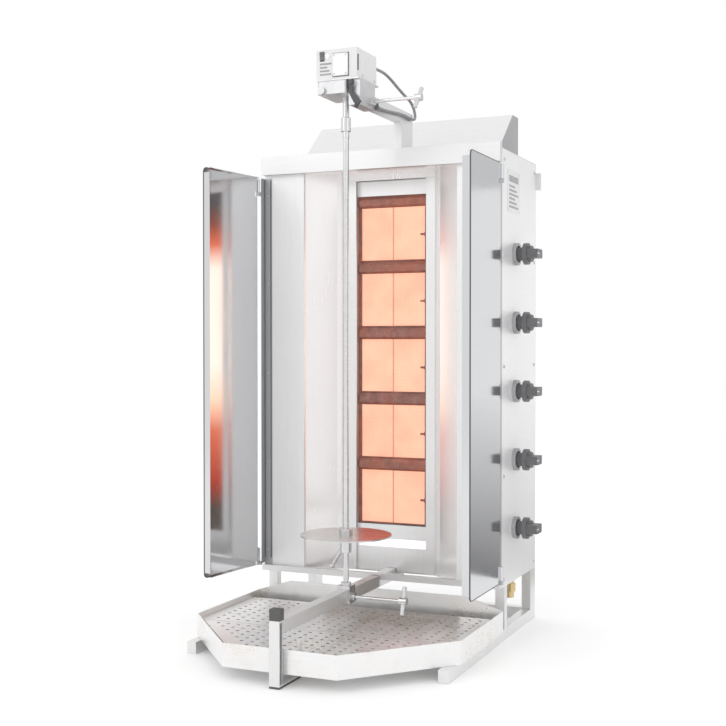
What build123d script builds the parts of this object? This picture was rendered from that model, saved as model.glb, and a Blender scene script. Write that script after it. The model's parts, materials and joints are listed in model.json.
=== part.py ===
"""Countertop vertical broiler for a standing meat spit: open-fronted casing with five stacked
radiant burners, two wing doors, a motor on a sliding top carriage and a drip tray on a base frame.

Millimetres. +Z up, +Y towards the back of the unit, the operator stands at -Y.
Origin: bench level, middle of the width, in the plane of the fascia's front face."""
import os
from math import atan, cos, pi, radians, sin, sqrt, tan
from build123d import *

os.makedirs("parts", exist_ok=True)

# ---- casing ---------------------------------------------------------------------------------
HALF_W = 290.0          # half the casing's width
DEPTH = 288.0           # fascia front to rear panel
SHEET = 1.5             # casing sheet thickness
CASE_Z0, CASE_Z1 = 118.0, 1073.0
FRONT_Y = 16.0          # front strips stand this far behind the fascia's face
FASCIA_Z0, FASCIA_Z1 = 1043.0, 1085.0
RAIL_TOP = 131.0        # top of the bottom front rail
MOUTH = 187.0           # half the width of the front opening
BACK = 109.0            # half the width where the reflectors end
RECESS = 87.0           # half the width of the recess in front of the burners
STRIP_Y = 90.0          # front of the vertical trim strips beside the burners
BURN_Y = 105.5          # front of the burner flanges
REFLECTOR_Z0 = 120.0    # lower edge of the side reflectors
SUR_Z0, SUR_Z1 = 120.0, 1029.0   # ends of the plates round the burners

# ---- burners --------------------------------------------------------------------------------
BURNERS = 5
PITCH = 153.0
BURN_Z0 = 229.0         # underside of the lowest burner
WIN_LOW, WIN_HIGH = 3.0, 125.0
WIN_X = 80.0
HOUSING_X = 88.0
HOUSING_DEPTH = 58.0
KNOB_DROP = 8.5         # knob axis above each burner's underside
KNOB_Y = 115.0
PIPE_X, PIPE_Y, PIPE_R = 268.0, 150.0, 10.5

# ---- base frame -----------------------------------------------------------------------------
TUBE = 25.0             # rail height
RAIL_X0, RAIL_X1 = 269.0, 290.0
RAIL_FRONT = -330.0
LEG_Y = 38.0

# ---- spit drive -----------------------------------------------------------------------------
SPIT_Y = -162.0         # spindle axis in front of the fascia
SPIT_R = 6.0
BEAM_X, BEAM_Z0, BEAM_Z1 = 11.0, 103.0, 128.0
BEAM_FRONT = -478.0
POST_Y = -491.0
ARM_X0, ARM_X1 = 29.0, 47.0
ARM_Z0, ARM_Z1 = 1149.0, 1177.0
ARM_FRONT, ARM_BACK = -160.0, 108.0
COLUMN_Y = 39.0
BOX_X = 46.0
BOX_Y0, BOX_Y1 = -210.0, -105.0
BOX_Z0, BOX_Z1 = 1201.0, 1263.0
DISC_R = 97.0
DISC_Z = 241.0
SLIDE_GAP = 0.3         # clearance round a sliding piece
TURN_GAP = 0.06         # radial clearance of a turning fit
CATCH_GAP = 0.1         # looser fit of the catch lever's pin

# ---- doors ----------------------------------------------------------------------------------
DOOR_X, DOOR_Y = 296.0, -6.0     # hinge axis
DOOR_FREE = -215.0
DOOR_EDGE = -12.0
DOOR_Z0, DOOR_Z1 = 134.0, 1036.0
DOOR_FLANGE = 16.0
LEFT_SPLAY = 6.5                 # the left door stands slightly open, in degrees

# ---- drip tray ------------------------------------------------------------------------------
TRAY_X, TRAY_SIDE_Y = 298.0, -276.0
TRAY_FRONT_X, TRAY_FRONT_Y = 122.0, -474.0
TRAY_BACK_Y = 2.0
TRAY_Z0, TRAY_Z1 = 25.2, 72.0
TRAY_SPLASH_Z = 98.0
TRAY_T = 1.5
INSERT_Z = 58.0


def block(x0, x1, y0, y1, z0, z1, mode=Mode.ADD):
    with Locations(((x0 + x1) / 2, (y0 + y1) / 2, (z0 + z1) / 2)):
        Box(abs(x1 - x0), abs(y1 - y0), abs(z1 - z0), mode=mode)


def rod_x(x0, x1, y, z, r, mode=Mode.ADD):
    with Locations(((x0 + x1) / 2, y, z)):
        Cylinder(r, abs(x1 - x0), rotation=(0, 90, 0), mode=mode)


def rod_y(x, y0, y1, z, r, mode=Mode.ADD):
    with Locations((x, (y0 + y1) / 2, z)):
        Cylinder(r, abs(y1 - y0), rotation=(90, 0, 0), mode=mode)


def rod_z(x, y, z0, z1, r, mode=Mode.ADD):
    with Locations((x, y, (z0 + z1) / 2)):
        Cylinder(r, abs(z1 - z0), mode=mode)


def prism_z(points, z0, z1, mode=Mode.ADD):
    """Upright prism over a plan outline."""
    with BuildSketch(Plane.XY.offset(z0)) as outline:
        with BuildLine():
            Polyline(*points, close=True)
        make_face()
    extrude(outline.sketch, amount=z1 - z0, mode=mode)


def prism_x(points, x0, x1, mode=Mode.ADD):
    """Prism along X over an outline of (y, z) points."""
    with BuildSketch(Plane.YZ.offset(x0)) as outline:
        with BuildLine():
            Polyline(*points, close=True)
        make_face()
    extrude(outline.sketch, amount=x1 - x0, mode=mode)


def prism_y(points, y0, y1, mode=Mode.ADD):
    """Prism along Y over an outline of (x, z) points."""
    with BuildSketch(Plane.XZ.offset(-y1)) as outline:
        with BuildLine():
            Polyline(*points, close=True)
        make_face()
    extrude(outline.sketch, amount=y1 - y0, mode=mode)


def tube_x(x0, x1, y0, y1, z0, z1, wall):
    block(x0, x1, y0, y1, z0, z1)
    block(x0 + wall, x1 - wall, y0 + wall, y1 - wall, z0 + wall, z1 - wall, Mode.SUBTRACT)


def burner_z(i):
    return BURN_Z0 + PITCH * i


def knob_z(i):
    return burner_z(i) + KNOB_DROP


def save(part, name):
    part.label = name
    export_step(part, "parts/" + name + ".step")


# ================================ base frame =================================================
# Two square-tube side rails with a rear cross tube, and four legs that carry the casing.
with BuildPart() as base_frame:
    for s in (-1, 1):
        a, b = sorted((s * RAIL_X0, s * RAIL_X1))
        block(a, b, RAIL_FRONT, DEPTH, 0, TUBE)
        block(a, b, LEG_Y, LEG_Y + 20, TUBE, CASE_Z0)
        block(a, b, DEPTH - 40, DEPTH, TUBE, CASE_Z0)
    block(-RAIL_X0, RAIL_X0, DEPTH - TUBE, DEPTH, 0, TUBE)
    for s in (-1, 1):
        a, b = sorted((s * (RAIL_X0 + 2), s * (RAIL_X1 - 2)))
        block(a, b, RAIL_FRONT + 3, DEPTH - 2, 2, TUBE - 2, Mode.SUBTRACT)
        block(a, b, LEG_Y + 2, LEG_Y + 18, TUBE, CASE_Z0 - 2, Mode.SUBTRACT)
        block(a, b, DEPTH - 38, DEPTH - 2, TUBE, CASE_Z0 - 2, Mode.SUBTRACT)
    block(-RAIL_X0, RAIL_X0, DEPTH - TUBE + 2, DEPTH - 2, 2, TUBE - 2, Mode.SUBTRACT)
save(base_frame.part, "base_frame")

# Beam along the middle, over the tray: the lower spit carriage slides on it.
with BuildPart() as centre_beam:
    tube_x(-BEAM_X, BEAM_X, BEAM_FRONT, STRIP_Y + 2, BEAM_Z0, BEAM_Z1, 2.0)
    block(-32, 32, STRIP_Y + 2, STRIP_Y + 5, BEAM_Z0, CASE_Z0)
save(centre_beam.part, "centre_beam")

# Front post: an upright channel, open to the right, with a foot plate that runs under the tray.
with BuildPart() as front_post:
    block(-BEAM_X, BEAM_X, POST_Y, BEAM_FRONT, 4, BEAM_Z1)
    block(-BEAM_X + 2, BEAM_X, POST_Y + 2, BEAM_FRONT - 2, 8, BEAM_Z1 - 4, Mode.SUBTRACT)
    block(-BEAM_X, BEAM_X, BEAM_FRONT, -400, 4, 8)
save(front_post.part, "front_post")

# Rubber pad under the post's foot and the stop block on top of the post.
with BuildPart() as post_rubbers:
    block(-BEAM_X, BEAM_X, POST_Y, -400, 0, 4)
    block(-BEAM_X, BEAM_X, POST_Y + 1, POST_Y + 19, BEAM_Z1, BEAM_Z1 + 22)
save(post_rubbers.part, "post_rubbers")

# ================================ casing =====================================================
with BuildPart() as side_panel_left:
    block(-HALF_W, -HALF_W + SHEET, FRONT_Y + SHEET, DEPTH - SHEET, CASE_Z0, CASE_Z1 - SHEET)
    for z in (CASE_Z0, CASE_Z1 - 2 * SHEET):
        block(-HALF_W + SHEET, -HALF_W + 14, 110, DEPTH - SHEET, z + SHEET * (z < 200),
              z + SHEET + SHEET * (z < 200))
save(side_panel_left.part, "side_panel_left")

# The right side carries the five gas taps.
with BuildPart() as side_panel_right:
    block(HALF_W - SHEET, HALF_W, FRONT_Y + SHEET, DEPTH - SHEET, CASE_Z0, CASE_Z1 - SHEET)
    for i in range(BURNERS):
        rod_x(HALF_W - 5, HALF_W + 5, KNOB_Y, knob_z(i), 6.0, Mode.SUBTRACT)
save(side_panel_right.part, "side_panel_right")

# Rear panel with ventilation slots and a cable hook on its right-hand edge.
with BuildPart() as rear_panel:
    block(-HALF_W, HALF_W, DEPTH - SHEET, DEPTH, CASE_Z0, CASE_Z1 - SHEET)
    for row in range(6):
        with Locations(*[(x, DEPTH, 240 + 130 * row) for x in (-180, -90, 0, 90, 180)]):
            Box(60, 8, 7, mode=Mode.SUBTRACT)
    block(HALF_W, HALF_W + 10, DEPTH - SHEET, DEPTH, 1012, 1052)
    block(HALF_W + 8.5, HALF_W + 10, DEPTH, DEPTH + 10, 1012, 1052)
save(rear_panel.part, "rear_panel")

# Roof with flue slots that open under the deflector.
with BuildPart() as roof_panel:
    block(-HALF_W, HALF_W, FRONT_Y, DEPTH, CASE_Z1 - SHEET, CASE_Z1)
    with Locations(*[(x, 210, CASE_Z1) for x in (-180, -108, -36, 36, 108, 180)]):
        Box(52, 90, 8, mode=Mode.SUBTRACT)
save(roof_panel.part, "roof_panel")

# Floor of the burner compartment, open in front where fat drips through to the tray.
with BuildPart() as floor_panel:
    block(-HALF_W + SHEET, HALF_W - SHEET, STRIP_Y + 5, DEPTH - SHEET, CASE_Z0, CASE_Z0 + SHEET)
    rod_z(PIPE_X, PIPE_Y, CASE_Z0 - 3, CASE_Z0 + 6, PIPE_R + 1, Mode.SUBTRACT)
save(floor_panel.part, "floor_panel")

# Fascia: a folded channel across the top of the mouth.
with BuildPart() as fascia:
    block(-HALF_W, HALF_W, 0, FRONT_Y, FASCIA_Z0, FASCIA_Z1)
    block(-HALF_W + SHEET, HALF_W - SHEET, SHEET, FRONT_Y + 1, FASCIA_Z0 + SHEET,
          FASCIA_Z1 - SHEET, Mode.SUBTRACT)
save(fascia.part, "fascia")

# Front strips either side of the mouth.
with BuildPart() as front_strip_left:
    block(-HALF_W, -MOUTH, FRONT_Y, FRONT_Y + SHEET, CASE_Z0, CASE_Z1 - SHEET)
save(front_strip_left.part, "front_strip_left")

with BuildPart() as front_strip_right:
    block(MOUTH, HALF_W, FRONT_Y, FRONT_Y + SHEET, CASE_Z0, CASE_Z1 - SHEET)
save(front_strip_right.part, "front_strip_right")

# Bottom front rail: a folded channel, notched in the middle for the beam.
with BuildPart() as bottom_rail:
    block(-HALF_W, HALF_W, 2, FRONT_Y, CASE_Z0, RAIL_TOP)
    block(-HALF_W + SHEET, HALF_W - SHEET, 2 + SHEET, FRONT_Y, CASE_Z0 + SHEET,
          RAIL_TOP - SHEET, Mode.SUBTRACT)
    block(-BEAM_X - 0.5, BEAM_X + 0.5, 0, FRONT_Y + 2, CASE_Z0 - 3, BEAM_Z1 + 0.5, Mode.SUBTRACT)
    for s in (-1, 1):
        block(*sorted((s * 269.5, s * (HALF_W + 1))), FRONT_Y - 1.6, FRONT_Y + 1, CASE_Z0 - 1,
              RAIL_TOP + 1, Mode.SUBTRACT)
save(bottom_rail.part, "bottom_rail")


# Side reflectors: polished sheets that close in from the mouth to the burner recess.
def reflector_outline(s):
    inner = [(MOUTH, FRONT_Y + SHEET), (MOUTH, 24), (128, 72), (119, 77), (BACK, STRIP_Y)]
    outer = [(BACK + 1.6, STRIP_Y + 0.9), (119.9, 78.3), (128.9, 73.3), (MOUTH + 1.5, 24.7),
             (MOUTH + 1.5, FRONT_Y + SHEET)]
    return [(s * x, y) for x, y in inner + outer]


with BuildPart() as reflector_left:
    prism_z(reflector_outline(-1), REFLECTOR_Z0, FASCIA_Z0)
save(reflector_left.part, "reflector_left")

with BuildPart() as reflector_right:
    prism_z(reflector_outline(1), REFLECTOR_Z0, FASCIA_Z0)
save(reflector_right.part, "reflector_right")

# Ceiling of the mouth, with a header that closes the gap up to the roof and a flange turned down
# behind the trim strips.
with BuildPart() as cavity_ceiling:
    prism_z([(-MOUTH, FRONT_Y), (MOUTH, FRONT_Y), (MOUTH, 24), (128, 72), (BACK, 95), (-BACK, 95),
             (-128, 72), (-MOUTH, 24)], FASCIA_Z0, FASCIA_Z0 + SHEET)
    block(-MOUTH, MOUTH, FRONT_Y, FRONT_Y + SHEET, FASCIA_Z0, CASE_Z1 - SHEET)
    block(-BACK, BACK, 95 - SHEET, 95, SUR_Z1 + 0.3, FASCIA_Z0 + SHEET)
save(cavity_ceiling.part, "cavity_ceiling")

# Surround of the burner stack: trim strips, recess walls, top plate and a folded lower plate.
with BuildPart() as burner_surround:
    for s in (-1, 1):
        a, b = sorted((s * RECESS, s * (BACK - 0.2)))
        block(a, b, STRIP_Y, STRIP_Y + SHEET, SUR_Z0, SUR_Z1)
        a, b = sorted((s * RECESS, s * (RECESS + SHEET)))
        block(a, b, STRIP_Y, BURN_Y, SUR_Z0, SUR_Z1)
    block(-RECESS - SHEET, RECESS + SHEET, BURN_Y - SHEET, BURN_Y, burner_z(5), SUR_Z1)
    prism_x([(104, 227), (104, 194), (97, 176), (97, SUR_Z0), (98.5, SUR_Z0), (98.5, 175.7),
             (105.5, 193.7), (105.5, 227)], -RECESS, RECESS)
save(burner_surround.part, "burner_surround")


# Five radiant burners: each a pressed box with an overhanging lip above its window and a mixing
# tube that runs to the tap on the right.
def burner_housing(i):
    z0 = burner_z(i)
    z1 = z0 + PITCH - 0.5
    y1 = BURN_Y + HOUSING_DEPTH
    block(-HOUSING_X, HOUSING_X, BURN_Y, y1, z0, z1)
    block(-HOUSING_X + SHEET, HOUSING_X - SHEET, BURN_Y + SHEET, y1 - SHEET, z0 + SHEET,
          z1 - SHEET, Mode.SUBTRACT)
    block(-WIN_X, WIN_X, BURN_Y - 2, BURN_Y + SHEET, z0 + WIN_LOW, z0 + WIN_HIGH, Mode.SUBTRACT)
    prism_x([(BURN_Y, z1), (BURN_Y - 5, z1 - 8), (BURN_Y - 5, z0 + WIN_HIGH + 5),
             (BURN_Y, z0 + WIN_HIGH)], -WIN_X - 4, WIN_X + 4)
    rod_x(HOUSING_X - SHEET, 226, y1 - 22, z0 + 70, 15)
    rod_x(HOUSING_X - 4, 229, y1 - 22, z0 + 70, 13.5, Mode.SUBTRACT)


for i in range(BURNERS):
    with BuildPart() as burner:
        burner_housing(i)
    save(burner.part, f"burner_{i + 1}")

# Ceramic plaques, two side by side in every burner.
with BuildPart() as ceramic_tiles:
    for i in range(BURNERS):
        z0 = burner_z(i)
        for s in (-1, 1):
            a, b = sorted((s * 0.4, s * (HOUSING_X - SHEET)))
            block(a, b, BURN_Y + SHEET, BURN_Y + SHEET + 13, z0 + SHEET, z0 + 138)
save(ceramic_tiles.part, "ceramic_tiles")

# Flame-failure probes at the right-hand edge of each burner window.
with BuildPart() as flame_probes:
    for i in range(BURNERS):
        rod_x(71, RECESS, 98.5, burner_z(i) + 60, 2.5)
        rod_x(80, RECESS, 98.5, burner_z(i) + 60, 4.0)
save(flame_probes.part, "flame_probes")

# Gas manifold: a riser inside the right-hand side with a union nut below the casing.
with BuildPart() as gas_manifold:
    rod_z(PIPE_X, PIPE_Y, 72, 880, PIPE_R)
    with BuildSketch(Plane.XY.offset(86)):
        with Locations((PIPE_X, PIPE_Y)):
            RegularPolygon(14.5, 6)
    extrude(amount=18)
    rod_z(PIPE_X, PIPE_Y, 69, 877, PIPE_R - 2.5, Mode.SUBTRACT)
save(gas_manifold.part, "gas_manifold")

# Gas taps: bodies between the riser and the side panel, each with a jet to its mixing tube.
with BuildPart() as gas_taps:
    for i in range(BURNERS):
        z = knob_z(i)
        block(246, HALF_W - SHEET - 3, KNOB_Y - 15, PIPE_Y - PIPE_R, z - 14, z + 14)
        rod_x(262, HALF_W - SHEET, KNOB_Y, z, 9)
        block(232, 246, KNOB_Y - 9, KNOB_Y + 9, z - 9, z + 74)
        rod_x(229, 236, BURN_Y + HOUSING_DEPTH - 22, burner_z(i) + 70, 6)
        block(232, 246, KNOB_Y, BURN_Y + HOUSING_DEPTH - 16, burner_z(i) + 62, burner_z(i) + 78)
        rod_x(272, HALF_W, KNOB_Y, z, 4 + TURN_GAP, Mode.SUBTRACT)
save(gas_taps.part, "gas_taps")

# Round bezels on the side panel behind the knobs.
with BuildPart() as knob_bezels:
    for i in range(BURNERS):
        rod_x(HALF_W, HALF_W + 9, KNOB_Y, knob_z(i), 25)
        rod_x(HALF_W - 1, HALF_W + 10, KNOB_Y, knob_z(i), 6, Mode.SUBTRACT)
        rod_x(HALF_W + 4, HALF_W + 10, KNOB_Y, knob_z(i), 19, Mode.SUBTRACT)
save(knob_bezels.part, "knob_bezels")


# Control knob: stem, neck, round skirt and a bar grip that lies level when the tap is fully open.
def control_knob(i):
    z = knob_z(i)
    rod_x(274, HALF_W + 8, KNOB_Y, z, 4)
    rod_x(HALF_W + 8, HALF_W + 24, KNOB_Y, z, 15)
    rod_x(HALF_W + 22, HALF_W + 32, KNOB_Y, z, 24)
    block(HALF_W + 32, HALF_W + 57, KNOB_Y - 21, KNOB_Y + 21, z - 10, z + 10)
    rod_x(HALF_W + 32, HALF_W + 40, KNOB_Y, z, 18)


for i in range(BURNERS):
    with BuildPart() as knob:
        control_knob(i)
        fillet(knob.edges().filter_by(Axis.X).group_by(Axis.X)[-1], 4)
    save(knob.part, f"knob_{i + 1}")

# Heat deflector on the roof: a sloped sheet with closed ends, open towards the back.
DEF_X, DEF_Z = 247.0, 1185.0
with BuildPart() as deflector:
    prism_x([(112, CASE_Z1), (240, DEF_Z), (286, DEF_Z), (286, CASE_Z1)], -DEF_X, DEF_X)
    prism_x([(115.5, CASE_Z1 - 1), (240.6, DEF_Z - SHEET), (290, DEF_Z - SHEET),
             (290, CASE_Z1 - 1)], -DEF_X + SHEET, DEF_X - SHEET, Mode.SUBTRACT)
save(deflector.part, "deflector")

# Plain data plate on the right-hand side, held by four rivets.
with BuildPart() as data_plate:
    block(HALF_W, HALF_W + 0.8, 54, 149, 940, 1033)
    for y in (59, 144):
        for z in (945, 1028):
            rod_x(HALF_W + 0.8, HALF_W + 1.8, y, z, 2.2)
save(data_plate.part, "data_plate")

# ================================ top arm and motor ==========================================
# Column and arm: flat tube welded to a foot plate on the roof, standing to the right of the spit.
with BuildPart() as column_arm:
    block(ARM_X0 - 14, ARM_X1 + 14, COLUMN_Y - 8, ARM_BACK + 2, CASE_Z1, CASE_Z1 + 4)
    block(ARM_X0, ARM_X1, COLUMN_Y, ARM_BACK, CASE_Z1 + 4, ARM_Z0)
    block(ARM_X0 + 2.5, ARM_X1 - 2.5, COLUMN_Y + 2.5, ARM_BACK - 2.5, CASE_Z1 + 8, ARM_Z0,
          Mode.SUBTRACT)
    block(ARM_X0, ARM_X1, ARM_FRONT, ARM_BACK, ARM_Z0, ARM_Z1)
    block(ARM_X0 + 2.5, ARM_X1 - 2.5, ARM_FRONT + 2.5, ARM_BACK - 2.5, ARM_Z0 + 2.5,
          ARM_Z1 - 2.5, Mode.SUBTRACT)
save(column_arm.part, "column_arm")

# Carriage: a sleeve round the arm, closed in front, a web beside the gearbox and the plate the motor stands on.
SL0, SL1 = ARM_X0 - SLIDE_GAP - 3.5, ARM_X1 + SLIDE_GAP + 3.5
CAR_Y0, CAR_Y1 = -204.0, -124.0
CLAMP_Y, CLAMP_Z = -146.0, 1161.0
CAN_X, CAN_Y = -4.0, -152.0
with BuildPart() as carriage:
    block(SL0, SL1, CAR_Y0, CAR_Y1, ARM_Z0 - SLIDE_GAP - 3.5, BOX_Z0 - 3)
    block(ARM_X0 - SLIDE_GAP, ARM_X1 + SLIDE_GAP, CAR_Y0 + 3.3, CAR_Y1 + 1, ARM_Z0 - SLIDE_GAP,
          ARM_Z1 + SLIDE_GAP, Mode.SUBTRACT)
    block(SL0 + 3.5, SL1 - 3.5, CAR_Y0 + 4, CAR_Y1 - 4, ARM_Z1 + SLIDE_GAP + 3.5, BOX_Z0 - 3,
          Mode.SUBTRACT)
    block(-BOX_X, SL1, BOX_Y0, BOX_Y1, BOX_Z0 - 3, BOX_Z0)
    rod_z(CAN_X, CAN_Y, BOX_Z0 - 6, BOX_Z0 + 3, 27, Mode.SUBTRACT)
    rod_x(SL1, SL1 + 9, CLAMP_Y, CLAMP_Z, 9)
    rod_x(ARM_X1, SL1 + 12, CLAMP_Y, CLAMP_Z, 3.5 + TURN_GAP, Mode.SUBTRACT)
    rod_y(34, CAR_Y0 - 4, CAR_Y0, 1190, 7)
    rod_y(34, CAR_Y0 - 6, CAR_Y0 + 6, 1190, 2.5 + CATCH_GAP, Mode.SUBTRACT)
save(carriage.part, "carriage")

# Gear motor: reduction gearbox below the plate, motor can above it.
SHAFT_TOP = 1190.0
GEAR_Z0 = 1171.0
with BuildPart() as gear_motor:
    block(-45, 22, -208, -112, GEAR_Z0, BOX_Z0 - 3)
    fillet(gear_motor.edges().filter_by(Axis.Z), 5)
    rod_z(CAN_X, CAN_Y, BOX_Z0 - 3, 1252, 25)
    rod_y(-34, -214, -208, 1178, 8)
    rod_z(0, SPIT_Y, GEAR_Z0 - 1, SHAFT_TOP + 1, SPIT_R + TURN_GAP, Mode.SUBTRACT)
save(gear_motor.part, "gear_motor")

# Motor cover: a folded box, open below, slotted on the right near the front, with two inner ears
# for the rocker's pin.
ROCKER_Y, ROCKER_Z, ROCKER_PIN = -206.0, 1249.0, 1.2
with BuildPart() as motor_cover:
    block(-BOX_X, BOX_X, BOX_Y0, BOX_Y1, BOX_Z0, BOX_Z1)
    fillet(motor_cover.edges().filter_by(Axis.X).group_by(Axis.Z)[-1], 3)
    block(-BOX_X + SHEET, BOX_X - SHEET, BOX_Y0 + SHEET, BOX_Y1 - SHEET, BOX_Z0 - 1,
          BOX_Z1 - SHEET, Mode.SUBTRACT)
    block(BOX_X - 4, BOX_X + 1, -206, -198, 1216, 1250, Mode.SUBTRACT)
    block(-37.5, -27.5, BOX_Y0 - 1, BOX_Y0 + 3, 1239, 1259, Mode.SUBTRACT)
    for x in (-40.5, -26.9):
        block(x, x + 2.4, BOX_Y0 + SHEET - 0.1, -203, 1246, 1252)
    rod_x(-41, -24, ROCKER_Y, ROCKER_Z, ROCKER_PIN + TURN_GAP, Mode.SUBTRACT)
    rod_y(-20, BOX_Y0 - 1, BOX_Y0 + 3, 1249, 4.2, Mode.SUBTRACT)
    rod_y(30, BOX_Y1 - 3, BOX_Y1 + 1, 1247, 3.6, Mode.SUBTRACT)
save(motor_cover.part, "motor_cover")

# On/off rocker: a see-saw paddle on its own cross pin.
with BuildPart() as rocker_switch:
    prism_x([(-210.2, 1240.6), (-212.6, 1240.6), (-212.2, 1249), (-214.6, 1257.4),
             (-210.2, 1257.4), (-204, 1253), (-204, 1245)], -37.1, -27.9)
    rod_x(-40.2, -24.8, ROCKER_Y, ROCKER_Z, ROCKER_PIN)
save(rocker_switch.part, "rocker_switch")

# Pilot lamp beside the rocker.
with BuildPart() as pilot_lamp:
    rod_y(-20, BOX_Y0 - 3, BOX_Y0 + 8, 1249, 4)
    rod_y(-20, BOX_Y0 - 1.5, BOX_Y0, 1249, 5.5)
save(pilot_lamp.part, "pilot_lamp")

# Hinged-looking plain cover plate over the speed control, screwed to the motor cover.
with BuildPart() as control_cover:
    block(-7, 27, BOX_Y0 - 5, BOX_Y0, 1206, 1252)
    fillet(control_cover.edges().filter_by(Axis.Y), 3)
    fillet(control_cover.edges().group_by(Axis.Y)[0], 1.2)
save(control_cover.part, "control_cover")

# Release lever of the carriage catch: a bent flat bar with a small ball at its tip.
with BuildPart() as release_lever:
    prism_y([(29, 1195.5), (39, 1195.5), (37, 1172), (57, 1150), (50, 1142), (42, 1146), (30, 1168)],
            CAR_Y0 - 10, CAR_Y0 - 5)
    rod_y(34, CAR_Y0 - 12, CAR_Y0 + 5, 1190, 2.5)
    rod_y(34, CAR_Y0 - 12, CAR_Y0 - 10, 1190, 5)
    with Locations((46, CAR_Y0 - 7.5, 1141)):
        Sphere(5)
save(release_lever.part, "release_lever")

# Top clamp screw, pressing on the arm's side, with its sliding tommy bar.
TOP_TIP = 158.0
TOP_TILT = 40.0
BAR_R = 4.5
with BuildPart() as top_clamp:
    rod_x(ARM_X1 + 0.2, TOP_TIP, CLAMP_Y, CLAMP_Z, 3.5)
    rod_x(TOP_TIP - 8, TOP_TIP + 8, CLAMP_Y, CLAMP_Z, 8)
    with Locations(Location((TOP_TIP, CLAMP_Y, CLAMP_Z), (-TOP_TILT, 0, 0))):
        Cylinder(BAR_R + TURN_GAP, 30, mode=Mode.SUBTRACT)
save(top_clamp.part, "top_clamp")

with BuildPart() as top_bar:
    with Locations(Location((TOP_TIP, CLAMP_Y, CLAMP_Z), (-TOP_TILT, 0, 0))):
        Cylinder(BAR_R, 62)
    fillet(top_bar.edges().filter_by(GeomType.CIRCLE), 2)
save(top_bar.part, "top_bar")

# Motor lead: a limp round cable that leaves the back of the motor cover, turns round behind the
# column and comes forward along the arm into the carriage.
LEAD_D = 6.5
LEAD_ROUTE = [
    (30, -97, 1247), (30, -66, 1247), (31, -28, 1248), (33, 10, 1240), (35, 46, 1228),
    (38, 80, 1217), (40.5, 110, 1209.5), (45, 120.3, 1194.8), (49.5, 119, 1176.8),
    (52.8, 106.4, 1164.6), (52.6, 78, 1162.6), (52.4, 40, 1164.5), (52.6, 2, 1161.5),
    (52.4, -36, 1158), (52.6, -70, 1155), (52.5, -93, 1154), (52.5, -114, 1154),
]


def corner_radii(route):
    """Largest arc at each corner that its two runs leave room for."""
    points = [Vector(*p) for p in route]
    radii = []
    for a, b, c in zip(points, points[1:], points[2:]):
        turn = radians((b - a).get_angle(c - b))
        radii.append(0.45 * min((b - a).length, (c - b).length) / tan(turn / 2))
    return radii


LEAD_RADII = corner_radii(LEAD_ROUTE)
print("motor lead radii", [round(r, 1) for r in LEAD_RADII])
with BuildPart() as motor_lead:
    with BuildLine() as lead_path:
        FilletPolyline(*LEAD_ROUTE, radius=LEAD_RADII)
    with BuildSketch(Plane(origin=lead_path.line @ 0, z_dir=lead_path.line % 0)):
        Circle(LEAD_D / 2)
    sweep()
lead_length = sum(edge.length for edge in lead_path.edges())
print("motor lead length", round(lead_length, 1), "volume ratio",
      round(motor_lead.part.volume / (pi * LEAD_D ** 2 / 4 * lead_length), 3))
save(motor_lead.part, "motor_lead")

# Cable glands at both ends of the lead: one in the cover's back, one on the carriage's rear face.
with BuildPart() as lead_glands:
    rod_y(30, BOX_Y1 - 2, -97, 1247, 3.4)
    rod_y(30, BOX_Y1, -101, 1247, 8)
    rod_y(30, -101, -97, 1247, 5.5)
    block(47.3, 58, CAR_Y1, CAR_Y1 + 3, 1147, 1161)
    rod_y(52.5, CAR_Y1 + 3, -114, 1154, 5)
save(lead_glands.part, "lead_glands")

# ================================ spit =======================================================
with BuildPart() as motor_shaft:
    rod_z(0, SPIT_Y, 1112, GEAR_Z0 - 0.3, 7)
    rod_z(0, SPIT_Y, GEAR_Z0 - 0.3, SHAFT_TOP, SPIT_R)
save(motor_shaft.part, "motor_shaft")

# Coupling sleeve: lifts up over the motor shaft to free the spit's head.
with BuildPart() as coupling_sleeve:
    rod_z(0, SPIT_Y, 1098, 1128, 10.5)
    fillet(coupling_sleeve.edges().filter_by(GeomType.CIRCLE), 1.5)
    rod_z(0, SPIT_Y, 1097, 1129, 7 + TURN_GAP, Mode.SUBTRACT)
save(coupling_sleeve.part, "coupling_sleeve")

# Spit rod with a plain head above and a turned pivot below.
with BuildPart() as spit_rod:
    rod_z(0, SPIT_Y, 146, 1090, SPIT_R)
    rod_z(0, SPIT_Y, 1085, 1111.7, 7)
    rod_z(0, SPIT_Y, 133, 147, 4)
save(spit_rod.part, "spit_rod")

# Meat disc with its hub; it slides on the rod and is clamped by the collar below.
with BuildPart() as meat_disc:
    rod_z(0, SPIT_Y, DISC_Z, DISC_Z + 3, DISC_R)
    rod_z(0, SPIT_Y, DISC_Z - 13, DISC_Z + 15, 14)
    fillet(meat_disc.edges().filter_by(GeomType.CIRCLE).group_by(Axis.Z)[-1], 2)
    rod_z(0, SPIT_Y, DISC_Z - 20, DISC_Z + 20, SPIT_R + TURN_GAP, Mode.SUBTRACT)
save(meat_disc.part, "meat_disc")

with BuildPart() as disc_clamp:
    rod_z(0, SPIT_Y, 206, DISC_Z - 13.3, 12)
    with Locations(Location((-20, SPIT_Y, 195), (0, 32, 0))):
        Cylinder(4, 46)
    with Locations((-32.2, SPIT_Y, 175.5)):
        Sphere(6)
    rod_z(0, SPIT_Y, 150, DISC_Z - 10, SPIT_R + TURN_GAP, Mode.SUBTRACT)
save(disc_clamp.part, "disc_clamp")

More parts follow.
